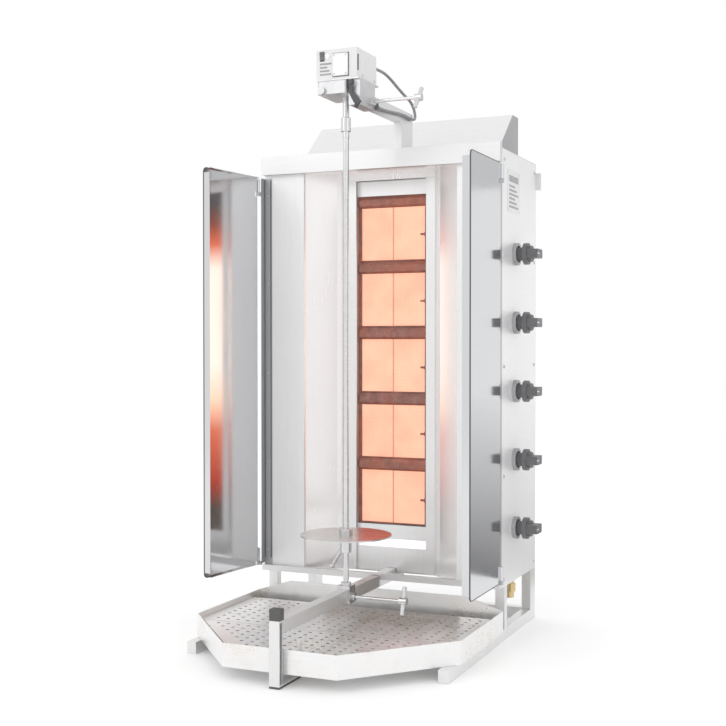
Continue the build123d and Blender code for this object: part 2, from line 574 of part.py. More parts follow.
# Lower carriage: a saddle astride the beam with the spit's footstep bearing.
LOW_Z = 112.0
CHEEK = BEAM_X + SLIDE_GAP + 3.5
with BuildPart() as lower_carriage:
    block(-CHEEK, CHEEK, SPIT_Y - 15, SPIT_Y + 15, BEAM_Z0 - 4, BEAM_Z1 + 8)
    block(-BEAM_X - SLIDE_GAP, BEAM_X + SLIDE_GAP, SPIT_Y - 16, SPIT_Y + 16, BEAM_Z0 - 5,
          BEAM_Z1 + SLIDE_GAP, Mode.SUBTRACT)
    rod_z(0, SPIT_Y, BEAM_Z1 + 8, BEAM_Z1 + 14, 11)
    rod_z(0, SPIT_Y, BEAM_Z1 + 4, BEAM_Z1 + 15, 4 + TURN_GAP, Mode.SUBTRACT)
    rod_x(CHEEK, CHEEK + 7, SPIT_Y, LOW_Z, 8)
    rod_x(BEAM_X, CHEEK + 9, SPIT_Y, LOW_Z, 3.5 + TURN_GAP, Mode.SUBTRACT)
save(lower_carriage.part, "lower_carriage")

LOW_TIP = 131.0
LOW_TILT = 17.0
with BuildPart() as lower_clamp:
    rod_x(BEAM_X + 0.2, LOW_TIP, SPIT_Y, LOW_Z, 3.5)
    rod_x(LOW_TIP - 8, LOW_TIP + 8, SPIT_Y, LOW_Z, 8)
    with Locations(Location((LOW_TIP, SPIT_Y, LOW_Z), (-LOW_TILT, 0, 0))):
        Cylinder(BAR_R + TURN_GAP, 30, mode=Mode.SUBTRACT)
save(lower_clamp.part, "lower_clamp")

with BuildPart() as lower_bar:
    with Locations(Location((LOW_TIP, SPIT_Y, LOW_Z), (-LOW_TILT, 0, 0))):
        Cylinder(BAR_R, 60)
    fillet(lower_bar.edges().filter_by(GeomType.CIRCLE), 2)
save(lower_bar.part, "lower_bar")

# ================================ wing doors =================================================
PIN_R = 2.5
KNUCKLES = ((DOOR_Z1 - 33, DOOR_Z1 - 3), (DOOR_Z0 + 6, DOOR_Z0 + 36))


def wing_door(s):
    """Folded sheet door with a return along its free edge; s is -1 for the left, 1 for the right."""
    face, back = s * (DOOR_X - 1), s * (DOOR_X - 2.5)
    a, b = sorted((face, back))
    block(a, b, DOOR_FREE, DOOR_EDGE, DOOR_Z0, DOOR_Z1)
    a, b = sorted((back, s * (DOOR_X - 2.5 - DOOR_FLANGE)))
    block(a, b, DOOR_FREE, DOOR_FREE + 1.5, DOOR_Z0 + 12, DOOR_Z1 - 12)
    a, b = sorted((back, s * (DOOR_X - 10)))
    for z in (DOOR_Z0, DOOR_Z1 - 1.5):
        block(a, b, DOOR_FREE + 12, DOOR_EDGE - 2, z, z + 1.5)
    cut = [(DOOR_FREE - 1, DOOR_Z1 + 1), (DOOR_FREE - 1, DOOR_Z1 - 11), (DOOR_FREE, DOOR_Z1 - 11)]
    arc = [(DOOR_FREE + 11 - 11 * cos(radians(t)), DOOR_Z1 - 11 + 11 * sin(radians(t)))
           for t in range(15, 91, 15)]
    top = cut + arc + [(DOOR_FREE + 11, DOOR_Z1 + 1)]
    low = [(y, DOOR_Z0 + DOOR_Z1 - z) for y, z in top]
    x0, x1 = sorted((s * (DOOR_X - 3), s * (DOOR_X - 0.5)))
    for outline in (top, low):
        prism_x(outline, x0, x1, Mode.SUBTRACT)
    x0, x1 = sorted((s * (DOOR_X - 3), s * (DOOR_X - 0.5)))
    for z0, z1 in KNUCKLES:
        block(x0, x1, DOOR_EDGE - 8, DOOR_EDGE + 1, z0 - 11, z0, Mode.SUBTRACT)
    a, b = sorted((s * (DOOR_X - 2.5), s * DOOR_X))
    for z0, z1 in KNUCKLES:
        block(a, b, DOOR_EDGE, DOOR_Y - 3, z0, z1)
        rod_z(s * DOOR_X, DOOR_Y, z0, z1, 4.5)
        rod_z(s * DOOR_X, DOOR_Y, z0 - 1, z1 + 1, PIN_R + TURN_GAP, Mode.SUBTRACT)


with BuildPart() as door_right:
    wing_door(1)
save(door_right.part, "door_right")

with BuildPart() as door_left_square:
    wing_door(-1)
with BuildPart() as door_left:
    add(door_left_square.part.rotate(Axis((-DOOR_X, DOOR_Y, 0), (0, 0, 1)), -LEFT_SPLAY))
save(door_left.part, "door_left")

# Fixed hinge angles on the front strips, with the hinge pins.
with BuildPart() as hinge_angles:
    for s in (-1, 1):
        a, b = sorted((s * 270, s * HALF_W))
        prism_y([(a, DOOR_Z1), (b, DOOR_Z1), (b, DOOR_Z0 - 4 - 14 * (s > 0)),
                 (a, DOOR_Z0 - 4 - 14 * (s < 0))], FRONT_Y - 1.5, FRONT_Y)
        a, b = sorted((s * (HALF_W - 1.5), s * HALF_W))
        block(a, b, -2, FRONT_Y - 1.5, DOOR_Z0, DOOR_Z1)
        a, b = sorted((s * (HALF_W - 1.5), s * DOOR_X))
        for z0, z1 in KNUCKLES:
            block(a, b, -8, -4, z0 - 9, z0 - 0.5)
            block(*sorted((s * (HALF_W - 1.5), s * HALF_W)), -8, -2, z0 - 9, z0 - 0.5)
            rod_z(s * DOOR_X, DOOR_Y, z0 - 9, z0 - 0.5, 4.5)
            rod_z(s * DOOR_X, DOOR_Y, z0 - 9, z1 + 1, PIN_R)
save(hinge_angles.part, "hinge_angles")

# ================================ drip tray ==================================================
def tray_outline(inset):
    """Plan of the tray: straight sides, chamfered towards a short front edge."""
    k = inset * tan(radians(24.2))
    return [(TRAY_X - inset, TRAY_BACK_Y - inset), (TRAY_X - inset, TRAY_SIDE_Y + k),
            (TRAY_FRONT_X - k, TRAY_FRONT_Y + inset), (-TRAY_FRONT_X + k, TRAY_FRONT_Y + inset),
            (-TRAY_X + inset, TRAY_SIDE_Y + k), (-TRAY_X + inset, TRAY_BACK_Y - inset)]


with BuildPart() as drip_tray:
    prism_z(tray_outline(0), TRAY_Z0, TRAY_Z1)
    prism_z(tray_outline(TRAY_T), TRAY_Z0 + TRAY_T, TRAY_Z1 + 1, Mode.SUBTRACT)
    prism_y([(-TRAY_X, TRAY_Z1 - 2), (TRAY_X, TRAY_Z1 - 2), (TRAY_X, TRAY_Z1), (215, TRAY_SPLASH_Z),
             (-215, TRAY_SPLASH_Z), (-TRAY_X, TRAY_Z1)], TRAY_BACK_Y - TRAY_T, TRAY_BACK_Y)
    for s in (-1, 1):
        for y in (-250, -40):
            a, b = sorted((s * (TRAY_X - TRAY_T), s * (TRAY_X - 14)))
            block(a, b, y - 12, y + 12, INSERT_Z - 2, INSERT_Z)
    for x in (-80, 80):
        block(x - 12, x + 12, TRAY_FRONT_Y + TRAY_T, TRAY_FRONT_Y + 14, INSERT_Z - 2, INSERT_Z)
save(drip_tray.part, "drip_tray")

# Perforated inserts: a rectangular one behind and a tapered one in front.
HOLE = 4.0
with BuildPart() as insert_rear:
    block(-TRAY_X + 3, TRAY_X - 3, -268, -30, INSERT_Z, INSERT_Z + 1.5)
    block(-TRAY_X + 20, TRAY_X - 20, -268, -266.5, INSERT_Z - 9, INSERT_Z)
    with Locations((0, -149, INSERT_Z)):
        with GridLocations(24, 24, 23, 9):
            Cylinder(HOLE, 8, mode=Mode.SUBTRACT)
save(insert_rear.part, "insert_rear")

with BuildPart() as insert_front:
    prism_z([(286, -270), (127, -448), (118, -469), (-118, -469), (-127, -448), (-286, -270)],
            INSERT_Z, INSERT_Z + 1.5)
    for row in range(8):
        y = -286 - 23 * row
        half = int((284 + (y + 270) * 0.9 - 26) // 24)
        with Locations(*[(24 * n, y, INSERT_Z) for n in range(-half, half + 1)]):
            Cylinder(HOLE, 8, mode=Mode.SUBTRACT)
    block(33, 35, -452, -442, INSERT_Z + 1.5, INSERT_Z + 26)
save(insert_front.part, "insert_front")
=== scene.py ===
"""Looks of the vertical broiler: procedural materials for every CAD node, small fittings, the motor
lead, a pale studio and the camera. Metres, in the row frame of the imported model."""

import json
from math import cos, pi, radians, sin

import bmesh
import bpy
from mathutils import Matrix, Vector


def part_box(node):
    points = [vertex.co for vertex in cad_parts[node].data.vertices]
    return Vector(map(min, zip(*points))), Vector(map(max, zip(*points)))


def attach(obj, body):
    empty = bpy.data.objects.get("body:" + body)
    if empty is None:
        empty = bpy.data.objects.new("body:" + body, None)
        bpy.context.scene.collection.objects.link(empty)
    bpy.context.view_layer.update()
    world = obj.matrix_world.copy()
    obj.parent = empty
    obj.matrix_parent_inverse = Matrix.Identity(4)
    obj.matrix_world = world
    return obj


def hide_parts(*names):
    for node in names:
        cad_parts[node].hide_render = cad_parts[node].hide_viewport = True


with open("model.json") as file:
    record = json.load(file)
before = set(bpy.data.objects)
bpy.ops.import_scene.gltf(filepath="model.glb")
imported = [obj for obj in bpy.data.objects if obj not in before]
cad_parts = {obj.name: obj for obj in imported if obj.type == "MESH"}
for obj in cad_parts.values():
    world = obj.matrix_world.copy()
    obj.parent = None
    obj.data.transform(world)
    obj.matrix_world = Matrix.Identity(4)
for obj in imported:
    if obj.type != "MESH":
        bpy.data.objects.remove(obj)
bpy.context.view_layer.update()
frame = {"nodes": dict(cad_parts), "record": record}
MM = 0.001


# ================================ camera =====================================================
CAMERA_PLACE = (1.0482, -2.4875, 0.6514)
CAMERA_TURN = radians(23.45)
CAMERA_DIP = radians(0.96)
CAMERA_LENS = 59.55


def make_camera():
    data = bpy.data.cameras.new("camera")
    data.sensor_width = 36.0
    data.lens = CAMERA_LENS
    data.clip_start = 0.05
    camera = bpy.data.objects.new("camera", data)
    turn = Matrix.Rotation(CAMERA_TURN, 4, "Z")
    tilt = Matrix.Rotation(pi / 2 - CAMERA_DIP, 4, "X")
    camera.matrix_world = Matrix.Translation(CAMERA_PLACE) @ turn @ tilt
    bpy.context.scene.collection.objects.link(camera)
    bpy.context.scene.camera = camera


make_camera()


# ================================ material nodes =============================================
class Surface:
    """One node material with its Principled shader and a few helpers to build on it."""

    def __init__(self, name, color, rough, metallic=0.0, specular=0.5):
        self.material = bpy.data.materials.new(name)
        self.material.use_nodes = True
        self.tree = self.material.node_tree
        self.shader = self.tree.nodes["Principled BSDF"]
        self.set("Base Color", (*color, 1.0))
        self.set("Roughness", rough)
        self.set("Metallic", metallic)
        self.set("Specular IOR Level", specular)
        self.color = color
        place = self.add("ShaderNodeTexCoord")
        self.place = place.outputs["Object"]
        self.material.diffuse_color = (*color, 1.0)

    def set(self, socket, value):
        self.shader.inputs[socket].default_value = value

    def add(self, kind, **values):
        node = self.tree.nodes.new(kind)
        for key, value in values.items():
            setattr(node, key, value)
        return node

    def link(self, output, target):
        self.tree.links.new(output, target)

    def stretched(self, scale):
        """Object coordinates scaled by axis: a small scale draws the pattern out along that axis."""
        node = self.add("ShaderNodeMapping")
        node.inputs["Scale"].default_value = scale
        self.link(self.place, node.inputs["Vector"])
        return node.outputs["Vector"]

    def noise(self, scale, detail=3.0, rough=0.5, vector=None):
        node = self.add("ShaderNodeTexNoise")
        node.inputs["Scale"].default_value = scale
        node.inputs["Detail"].default_value = detail
        node.inputs["Roughness"].default_value = rough
        self.link(vector or self.place, node.inputs["Vector"])
        return node.outputs["Fac"]

    def spread(self, value, low, high, start=0.3, end=0.7):
        """Map value from start..end to low..high."""
        node = self.add("ShaderNodeMapRange")
        for key, number in zip(("From Min", "From Max", "To Min", "To Max"), (start, end, low, high)):
            node.inputs[key].default_value = number
        self.link(value, node.inputs["Value"])
        return node.outputs["Result"]

    def math(self, operation, a, b):
        node = self.add("ShaderNodeMath", operation=operation)
        for socket, value in zip(node.inputs, (a, b)):
            if isinstance(value, (int, float)):
                socket.default_value = value
            else:
                self.link(value, socket)
        return node.outputs["Value"]

    def mix(self, factor, first, second):
        """Blend two colours, each a triple or a socket."""
        node = self.add("ShaderNodeMix", data_type="RGBA")
        self.link(factor, node.inputs["Factor"])
        for socket, value in ((node.inputs[6], first), (node.inputs[7], second)):
            if isinstance(value, tuple):
                socket.default_value = (*value, 1.0)
            else:
                self.link(value, socket)
        return node.outputs[2]

    def paint(self, color):
        self.link(color, self.shader.inputs["Base Color"])

    def roughen(self, value):
        self.link(value, self.shader.inputs["Roughness"])

    def bump(self, height, strength, distance):
        node = self.add("ShaderNodeBump")
        node.inputs["Strength"].default_value = strength
        node.inputs["Distance"].default_value = distance
        self.link(height, node.inputs["Height"])
        self.link(node.outputs["Normal"], self.shader.inputs["Normal"])


def tint(color, factor):
    return tuple(min(1.0, c * factor) for c in color)


# Noise scale along and across the grain, by the axis that the grain runs along.
GRAIN = {"x": (14.0, 900.0, 900.0), "y": (900.0, 14.0, 900.0), "z": (900.0, 900.0, 14.0)}


def brushed(name, color, rough, grain, metallic=0.9, marks=0.05, bump=0.04):
    """Brushed sheet: fine drawn-out grain, faint cloudy handling marks."""
    s = Surface(name, color, rough, metallic)
    fine = s.noise(1.0, 3.0, 0.6, s.stretched(GRAIN[grain]))
    cloud = s.noise(3.0, 3.0, 0.5)
    smear = s.noise(9.0, 4.0, 0.55)
    streaked = s.mix(s.spread(fine, 0.0, 1.0), tint(color, 1.0 - marks), tint(color, 1.0 + marks * 0.6))
    clouded = s.mix(s.spread(cloud, 0.0, 0.5, 0.35, 0.75), streaked, tint(color, 1.0 - 1.4 * marks))
    s.paint(clouded)
    base = s.spread(fine, rough - 0.03, rough + 0.04)
    s.roughen(s.math("ADD", base, s.spread(smear, -0.015, 0.03)))
    s.bump(fine, bump, 0.0001)
    return s.material


def satin_rod(name, color, rough):
    """Turned or ground bar: fine rings across the length."""
    s = Surface(name, color, rough, 0.95)
    rings = s.noise(1.0, 3.0, 0.6, s.stretched((60.0, 60.0, 700.0)))
    stain = s.noise(30.0, 4.0, 0.6)
    s.paint(s.mix(s.spread(stain, 0.0, 1.0, 0.4, 0.75), color, tint(color, 0.92)))
    s.roughen(s.spread(rings, rough - 0.03, rough + 0.05))
    s.bump(rings, 0.02, 0.0001)
    return s.material


def heat_stained(name, color, hot):
    """Dark pressed steel of the burners, scaled and reddened by heat."""
    s = Surface(name, color, 0.5, 0.55)
    scale = s.noise(60.0, 6.0, 0.65)
    cloud = s.noise(12.0, 3.0, 0.5)
    mottled = s.mix(s.spread(scale, 0.0, 1.0, 0.35, 0.7), color, tint(color, 0.62))
    s.paint(s.mix(s.spread(cloud, 0.0, 0.7, 0.4, 0.7), mottled, hot))
    s.roughen(s.spread(scale, 0.38, 0.62))
    s.bump(scale, 0.25, 0.0006)
    return s.material


def glowing_ceramic(name):
    """Radiant plaques: rows of tiny flame ports, hottest away from the rims."""
    s = Surface(name, (0.62, 0.30, 0.19), 0.85)
    ports = s.add("ShaderNodeTexVoronoi")
    ports.inputs["Scale"].default_value = 300.0
    ports.inputs["Randomness"].default_value = 0.15
    s.link(s.place, ports.inputs["Vector"])
    dots = s.spread(ports.outputs["Distance"], 0.84, 1.0, 0.18, 0.42)
    patches = s.spread(s.noise(16.0, 3.0, 0.5), 0.86, 1.08)
    heat = s.math("MULTIPLY", dots, patches)
    glow = s.mix(heat, (0.95, 0.28, 0.14), (1.0, 0.52, 0.35))
    s.link(glow, s.shader.inputs["Emission Color"])
    s.link(s.math("MULTIPLY", heat, 0.78), s.shader.inputs["Emission Strength"])
    s.paint(s.mix(dots, (0.36, 0.15, 0.09), (0.55, 0.30, 0.22)))
    s.bump(dots, 0.4, 0.0008)
    return s.material


def ember(name, color, glow, strength):
    """Heat-proof cement that glows less than the plaques beside it."""
    s = Surface(name, color, 0.9)
    grit = s.noise(260.0, 4.0, 0.6)
    s.paint(s.mix(s.spread(grit, 0.0, 1.0), tint(color, 0.8), color))
    s.link(s.mix(s.spread(grit, 0.0, 1.0), tint(glow, 0.85), glow), s.shader.inputs["Emission Color"])
    s.set("Emission Strength", strength)
    s.bump(grit, 0.3, 0.0004)
    return s.material


def folded_sheet(name, color, rough, end_shade_color):
    """Brushed sheet whose two closed ends, the faces along x, are painted darker grey: painted shade, not a
    different sheet.
    """
    s = Surface(name, color, rough, 0.75)
    fine = s.noise(1.0, 3.0, 0.6, s.stretched(GRAIN["x"]))
    cloud = s.noise(6.0, 4.0, 0.55)
    streaked = s.mix(s.spread(fine, 0.0, 1.0), tint(color, 0.95), tint(color, 1.03))
    across = s.add("ShaderNodeSeparateXYZ")
    s.link(s.add("ShaderNodeNewGeometry").outputs["Normal"], across.inputs["Vector"])
    # Darker colour on the faces along x: painted shade.
    end = s.spread(s.math("ABSOLUTE", across.outputs["X"], 0.0), 0.0, 1.0, 0.6, 0.9)
    painted_end_shade = s.mix(s.spread(cloud, 0.0, 1.0), end_shade_color, tint(end_shade_color, 1.25))
    s.paint(s.mix(end, streaked, painted_end_shade))
    s.roughen(s.spread(fine, rough - 0.03, rough + 0.05))
    s.bump(fine, 0.04, 0.0001)
    return s.material


def plastic(name, color, rough, grain=900.0, bump=0.08):
    """Moulded plastic with a fine spark-eroded texture and slight scuffs."""
    s = Surface(name, color, rough)
    texture = s.noise(grain, 2.0, 0.5)
    scuff = s.noise(40.0, 5.0, 0.65)
    s.paint(s.mix(s.spread(scuff, 0.0, 0.6, 0.5, 0.8), color, tint(color, 1.35)))
    s.roughen(s.spread(scuff, rough - 0.06, rough + 0.08))
    s.bump(texture, bump, 0.0002)
    return s.material


def coated(name, color, rough, coat=0.2):
    """Sprayed coating with a light orange-peel surface."""
    s = Surface(name, color, rough)
    s.set("Coat Weight", coat)
    s.set("Coat Roughness", 0.25)
    peel = s.noise(420.0, 2.0, 0.5)
    cloud = s.noise(8.0, 4.0, 0.6)
    s.paint(s.mix(s.spread(cloud, 0.0, 1.0, 0.35, 0.75), color, tint(color, 0.94)))
    s.roughen(s.spread(peel, rough - 0.04, rough + 0.05))
    s.bump(peel, 0.06, 0.0002)
    return s.material


def cast_metal(name, color, rough):
    """Die-cast or sand-blasted aluminium housing."""
    s = Surface(name, color, rough, 0.8)
    grit = s.noise(700.0, 3.0, 0.6)
    stain = s.noise(18.0, 4.0, 0.6)
    s.paint(s.mix(s.spread(stain, 0.0, 1.0, 0.4, 0.75), color, tint(color, 0.84)))
    s.roughen(s.spread(grit, rough - 0.05, rough + 0.08))
    s.bump(grit, 0.12, 0.0003)
    return s.material


def greased(name, color):
    """Tray sheet: brushed steel with a patchy film of fat and small raised drops."""
    s = Surface(name, color, 0.36, 0.6)
    grain = s.noise(1.0, 4.0, 0.6, s.stretched(GRAIN["x"]))
    film = s.noise(9.0, 6.0, 0.62)
    drops = s.add("ShaderNodeTexVoronoi")
    drops.inputs["Scale"].default_value = 55.0
    s.link(s.place, drops.inputs["Vector"])
    spots = s.spread(drops.outputs["Distance"], 1.0, 0.0, 0.05, 0.22)
    sheet = s.mix(s.spread(grain, 0.0, 1.0), tint(color, 0.95), tint(color, 1.03))
    s.paint(s.mix(s.spread(film, 0.0, 0.45, 0.5, 0.75), sheet, (0.70, 0.62, 0.50)))
    s.roughen(s.spread(film, 0.40, 0.22, 0.4, 0.7))
    s.set("Coat Weight", 0.15)
    s.bump(s.math("ADD", s.math("MULTIPLY", grain, 0.3), s.math("MULTIPLY", spots, 0.5)), 0.08, 0.0005)
    return s.material


MATERIALS = {
    "casing_steel": brushed("casing steel", (0.75, 0.75, 0.75), 0.34, "x", 0.75),
    "side_steel": brushed("side steel", (0.86, 0.86, 0.86), 0.40, "y", 0.55),
    "strip_steel": brushed("strip steel", (0.93, 0.93, 0.93), 0.38, "z", 0.3),
    "polished_steel": brushed("polished steel", (0.92, 0.91, 0.91), 0.22, "z", 0.6, 0.03, 0.02),
    "frame_steel": brushed("frame steel", (0.82, 0.82, 0.82), 0.36, "y", 0.75),
    # The deflector's dark second colour is painted shade on its closed ends.
    "deflector_steel": folded_sheet("deflector steel", (0.84, 0.84, 0.84), 0.36, (0.36, 0.36, 0.37)),
    "upright_steel": brushed("upright steel", (0.80, 0.80, 0.80), 0.36, "z", 0.75),
    "door_steel": brushed("door steel", (0.67, 0.675, 0.69), 0.085, "y", 0.98, 0.03, 0.03),
    "hinge_steel": brushed("hinge steel", (0.46, 0.47, 0.48), 0.34, "z", 0.6),
    "trim_steel": brushed("trim steel", (0.84, 0.84, 0.84), 0.32, "z", 0.75),
    "disc_steel": brushed("disc steel", (0.66, 0.65, 0.64), 0.28, "x", 0.9),
    "tray_steel": greased("tray steel", (0.88, 0.88, 0.88)),
    "spit_steel": satin_rod("spit steel", (0.70, 0.70, 0.71), 0.24),
    "burner_steel": heat_stained("burner steel", (0.36, 0.18, 0.15), (0.48, 0.16, 0.10)),
    "ceramic": glowing_ceramic("glowing ceramic"),
    "cement": ember("joint cement", (0.55, 0.28, 0.20), (1.0, 0.30, 0.16), 0.42),
    "brass": cast_metal("brass", (0.72, 0.56, 0.30), 0.34),
    "black_plastic": plastic("black plastic", (0.14, 0.14, 0.145), 0.42),
    "bezel_metal": cast_metal("bezel metal", (0.42, 0.42, 0.43), 0.34),
    "black_steel": coated("black steel", (0.06, 0.06, 0.065), 0.38),
    "black_rubber": plastic("black rubber", (0.10, 0.10, 0.10), 0.7, 500.0, 0.15),
    "cable_rubber": plastic("cable rubber", (0.24, 0.24, 0.25), 0.5, 700.0, 0.1),
    "motor_paint": cast_metal("motor housing", (0.66, 0.66, 0.67), 0.38),
    "cover_paint": coated("cover paint", (0.74, 0.74, 0.745), 0.35),
    "white_plate": plastic("white plate", (0.86, 0.86, 0.85), 0.25, 600.0, 0.03),
    "lamp_lens": plastic("lamp lens", (0.90, 0.90, 0.86), 0.15, 600.0, 0.02),
    "plate_aluminium": brushed("plate aluminium", (0.80, 0.80, 0.80), 0.4, "y", 0.6),
    "dark_print": plastic("dark print", (0.34, 0.34, 0.35), 0.5, 800.0, 0.05),
    "pale_print": plastic("pale print", (0.85, 0.85, 0.83), 0.4, 800.0, 0.05),
    # Near black: painted shade along the free edges of the doors.
    "edge_shade": coated("edge shade", (0.07, 0.07, 0.075), 0.35),
    "screw_steel": cast_metal("screw steel", (0.62, 0.62, 0.63), 0.28),
}

# Nodes whose finish or grain differs from their slot's usual one.
FINISH = {
    "side_panel_left": "side_steel", "side_panel_right": "side_steel",
    "front_strip_left": "strip_steel", "front_strip_right": "strip_steel",
    "column_arm": "upright_steel", "front_post": "upright_steel", "hinge_angles": "hinge_steel",
    "deflector": "deflector_steel", "burner_surround": "trim_steel",
    "meat_disc": "disc_steel",
}

for row in frame["record"]["subparts"]:
    node = frame["nodes"][row["node"]]
    finish = MATERIALS[FINISH.get(row["node"], row["material_slot"])]
    node.data.materials.clear()
    node.data.materials.append(finish)


# ================================ mesh helpers ===============================================
def piece(name, mesh_edit, material, body, smooth=40.0):
    """Turn a finished bmesh into an object that rides on a body."""
    bmesh.ops.recalc_face_normals(mesh_edit, faces=mesh_edit.faces)
    mesh = bpy.data.meshes.new(name)
    mesh_edit.to_mesh(mesh)
    mesh_edit.free()
    mesh.materials.append(MATERIALS[material])
    mesh.shade_smooth()
    mesh.set_sharp_from_angle(angle=radians(smooth))
    obj = bpy.data.objects.new(name, mesh)
    bpy.context.scene.collection.objects.link(obj)
    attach(obj, body)
    return obj


def add_lathe(mesh_edit, profile, at, axis, segments=20):
    """Closed turned shape: profile is (radius, height) from the axis out and back to the axis."""
    axis = Vector(axis).normalized()
    frame_turn = axis.to_track_quat("Z", "Y").to_matrix()
    rings = []
    for radius, height in profile:
        if radius == 0:
            rings.append([mesh_edit.verts.new(Vector(at) + frame_turn @ Vector((0, 0, height)))])
            continue
        ring = []
        for k in range(segments):
            angle = 2 * pi * k / segments
            spot = Vector((radius * cos(angle), radius * sin(angle), height))
            ring.append(mesh_edit.verts.new(Vector(at) + frame_turn @ spot))
        rings.append(ring)
    for low, high in zip(rings, rings[1:]):
        for k in range(segments):
            j = (k + 1) % segments
            corners = [low[k % len(low)], low[j % len(low)], high[j % len(high)], high[k % len(high)]]
            mesh_edit.faces.new(list(dict.fromkeys(corners)))


def add_bar(mesh_edit, low, high, bevel):
    """Small block with softened edges."""
    made = bmesh.ops.create_cube(mesh_edit, size=1.0)["verts"]
    size = Vector(high) - Vector(low)
    bmesh.ops.scale(mesh_edit, vec=size, verts=made)
    bmesh.ops.translate(mesh_edit, vec=(Vector(high) + Vector(low)) / 2, verts=made)
    edges = list({e for v in made for e in v.link_edges})
    bmesh.ops.bevel(mesh_edit, geom=edges, offset=bevel, segments=2, affect="EDGES", profile=0.5)


def add_screw(mesh_edit, at, axis, radius=4.0 * MM):
    """Domed head with a round socket, sunk a little into the sheet."""
    profile = [(0, -0.15), (1.0, -0.15), (1.0, 0.1), (0.93, 0.32), (0.75, 0.5), (0.46, 0.6), (0.42, 0.56),
               (0.40, 0.25), (0, 0.22)]
    add_lathe(mesh_edit, [(r * radius, h * radius) for r, h in profile], at, axis, 18)


def screws(name, spots, axis, body="casing", radius=4.0 * MM):
    mesh_edit = bmesh.new()
    for spot in spots:
        add_screw(mesh_edit, spot, axis, radius)
    return piece(name, mesh_edit, "screw_steel", body)


# ================================ motor lead =================================================
LEAD_D = 6.5 * MM
# Points of the lead in millimetres, from the motor cover round to the rear of the carriage.
LEAD_ROUTE = [
    (30, -97, 1247), (30, -66, 1247), (31, -28, 1248), (33, 10, 1240), (35, 46, 1228),
    (38, 80, 1217), (40.5, 110, 1209.5), (45, 120.3, 1194.8), (49.5, 119, 1176.8),
    (52.8, 106.4, 1164.6), (52.6, 78, 1162.6), (52.4, 40, 1164.5), (52.6, 2, 1161.5),
    (52.4, -36, 1158), (52.6, -70, 1155), (52.5, -93, 1154), (52.5, -114, 1154),
]


def make_lead():
    curve = bpy.data.curves.new("motor_lead_cable", "CURVE")
    curve.dimensions = "3D"
    curve.bevel_depth = LEAD_D / 2
    curve.bevel_resolution = 6
    curve.resolution_u = 12
    curve.use_fill_caps = True
    line = curve.splines.new("NURBS")
    line.points.add(len(LEAD_ROUTE) - 1)
    for point, (x, y, z) in zip(line.points, LEAD_ROUTE):
        point.co = (x * MM, y * MM, z * MM, 1.0)
    line.order_u = 3
    line.use_endpoint_u = True
    curve.materials.append(MATERIALS["cable_rubber"])
    lead = bpy.data.objects.new("motor_lead_cable", curve)
    bpy.context.scene.collection.objects.link(lead)
    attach(lead, "motor_carriage")
    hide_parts("motor_lead")


make_lead()


# ================================ fittings ===================================================
CASING_LOW, CASING_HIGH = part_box("fascia")
HINGE_LOW, HINGE_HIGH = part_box("hinge_angles")
REAR_FOLD = 10 * MM
SIDES = ((-1, "left"), (1, "right"))


def side_screws():
    """Screws along the edges of both side panels and of the rear panel."""
    heights = (0.135, 0.36, 0.60, 0.84, 1.05)
    for (side, word), x in zip(SIDES, (CASING_LOW[0], CASING_HIGH[0])):
        spots = [(x, y, z) for y in (0.030, 0.272) for z in heights]
        screws(f"side_screws_{word}", spots, (side, 0, 0))
    rear_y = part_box("rear_panel")[1][1] - REAR_FOLD
    rear = [(x, rear_y, z) for x in (-0.275, 0.0, 0.275) for z in (0.135, 0.56, 1.045)]
    screws("rear_screws", rear, (0, 1, 0))


def front_screws():
    """Screws that hold the hinge angles, and the fixings of the column's foot on the roof."""
    count, below, above = 5, 50 * MM, 40 * MM
    y = HINGE_HIGH[1] - 1.5 * MM
    span = HINGE_HIGH[2] - HINGE_LOW[2] - below - above
    steps = [HINGE_LOW[2] + below + span * k / (count - 1) for k in range(count)]
    spots = [(side * 0.280, y, z) for side, _ in SIDES for z in steps]
    screws("hinge_screws", spots, (0, -1, 0), radius=3.0 * MM)
    foot_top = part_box("roof_panel")[1][2] + 4 * MM
    foot = [(x, y, foot_top) for x in (0.022, 0.054) for y in (0.036, 0.105)]
    screws("column_foot_screws", foot, (0, 0, 1), radius=3.2 * MM)


side_screws()
front_screws()


def knob_pointers():
    """Raised pale pointer line on the grip of each tap knob."""
    half_wide, proud, start, end = 1.0 * MM, 0.4 * MM, 4 * MM, 20 * MM
    for i in range(1, 6):
        low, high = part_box(f"knob_{i}")
        middle = (low[2] + high[2]) / 2
        mesh_edit = bmesh.new()
        add_bar(mesh_edit, (high[0] - proud, low[1] + start, middle - half_wide),
                (high[0] + proud, low[1] + end, middle + half_wide), 0.3 * MM)
        piece(f"knob_pointer_{i}", mesh_edit, "pale_print", f"tap_{i}")


knob_pointers()


def bars(name, low, high, rows, face, body):
    """Rows of plain printed bars on a plate: low and high are the corners of the printed area."""
    mesh_edit = bmesh.new()
    height = (high[2] - low[2]) / (2 * rows - 1)
    along = 1 if face == "x" else 0
    for k in range(rows):
        z = low[2] + 2 * k * height
        corner = [high[0], high[1], z + height]
        corner[along] -= (high[along] - low[along]) * 0.18 * (k % 3)
        add_bar(mesh_edit, (low[0], low[1], z), corner, 0.1 * MM)
    piece(name, mesh_edit, "dark_print", body)


def data_plate_print():
    """Bars of print and a title band on the data plate."""
    low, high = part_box("data_plate")
    x, left, right = low[0] + 0.8 * MM, low[1] + 12 * MM, high[1] - 12 * MM
    bars("data_plate_print", (x - 0.2 * MM, left, low[2] + 10 * MM), (x + 0.2 * MM, right, low[2] + 60 * MM),
         6, "x", "casing")
    mesh_edit = bmesh.new()
    add_bar(mesh_edit, (x - 0.2 * MM, left, high[2] - 26 * MM), (x + 0.25 * MM, right, high[2] - 12 * MM),
            0.1 * MM)
    piece("data_plate_band", mesh_edit, "dark_print", "casing")


data_plate_print()

BOX_LOW, BOX_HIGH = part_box("motor_cover")
COVER_LOW, COVER_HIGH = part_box("control_cover")


